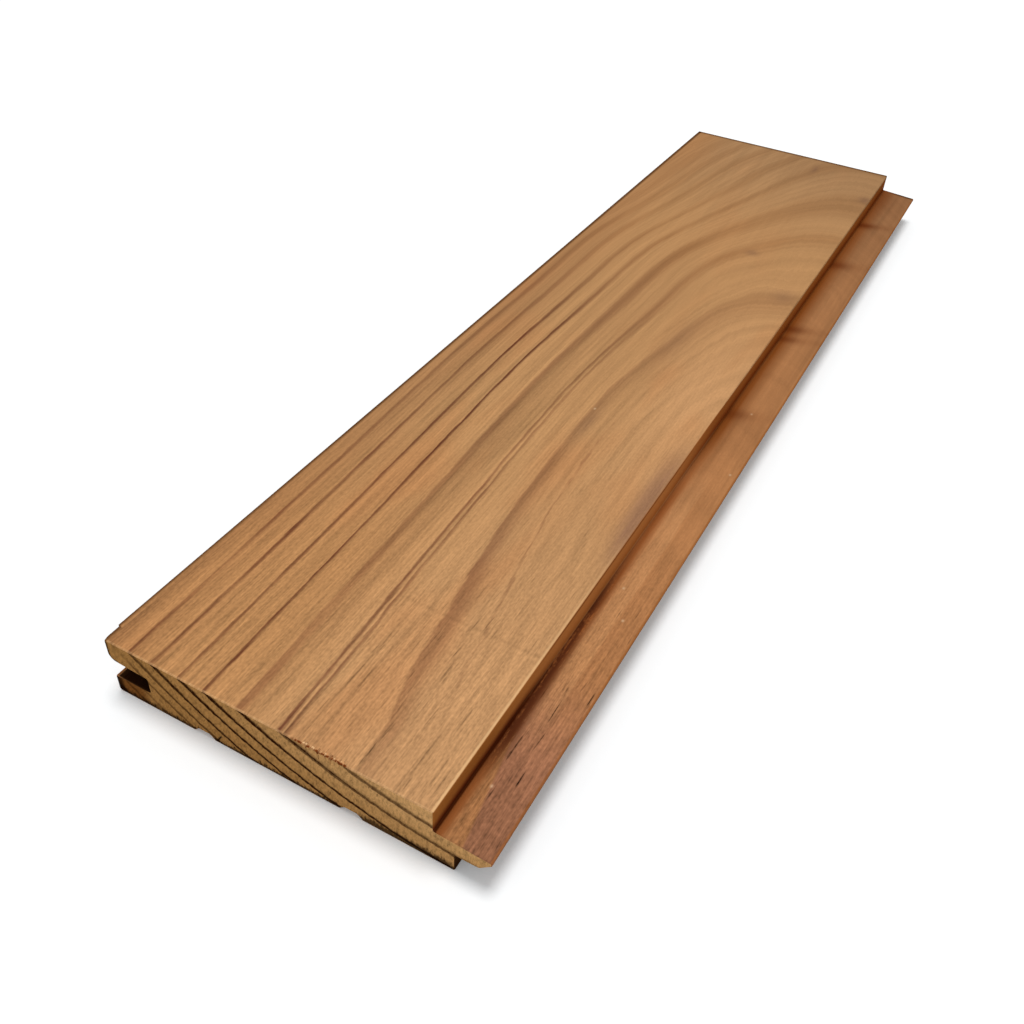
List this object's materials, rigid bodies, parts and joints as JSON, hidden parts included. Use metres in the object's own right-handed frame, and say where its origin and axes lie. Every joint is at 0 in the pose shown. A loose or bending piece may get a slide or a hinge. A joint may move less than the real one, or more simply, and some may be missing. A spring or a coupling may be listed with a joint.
{
  "type": "tongue and groove board",
  "caption": "Length of planed softwood cladding with a groove along one edge, a stepped-down tongue along the other and shallow relief grooves in its back; boards interlock side by side",
  "frame": {"origin": "middle of the board's width and length, in the plane that its back lies in", "axes": "+X from the groove edge to the tongue, +Y along the grain, +Z out of the face"},
  "size_m": [0.12, 0.437, 0.02],
  "materials": {
    "wood": "planed, satin matt"
  },
  "bodies": {
    "root": {"board": "wood"}
  },
  "joints": []
}
